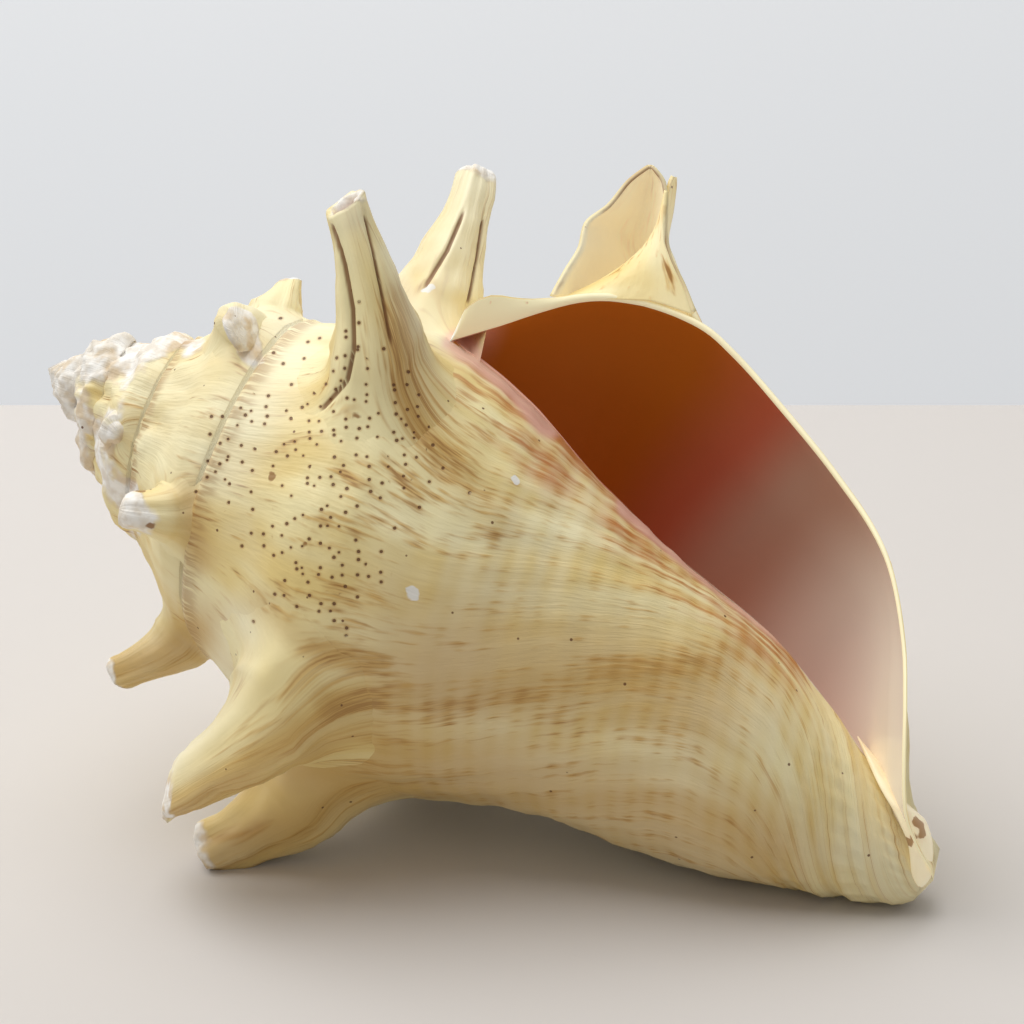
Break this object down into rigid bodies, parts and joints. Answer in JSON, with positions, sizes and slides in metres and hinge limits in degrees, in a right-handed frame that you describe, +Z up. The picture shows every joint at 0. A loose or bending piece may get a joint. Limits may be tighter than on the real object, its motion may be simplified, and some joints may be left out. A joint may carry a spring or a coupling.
{
  "type": "queen conch shell",
  "caption": "Worn subadult queen conch shell lying on its back, with a knobbed spire, blunt shoulder spines, a thin flared lip and an open aperture.",
  "frame": {"origin": "on the floor, below the middle of the shell's bounding box", "axes": "+X from the apex side towards the siphonal end, +Z up with the aperture above, -Y towards the side from which the aperture is seen"},
  "size_m": [0.1818, 0.1376, 0.1298],
  "materials": {
    "shell": "matt, worn outside and smooth, glazed inside"
  },
  "bodies": {
    "root": {"queen_conch_shell": "shell"}
  },
  "joints": []
}
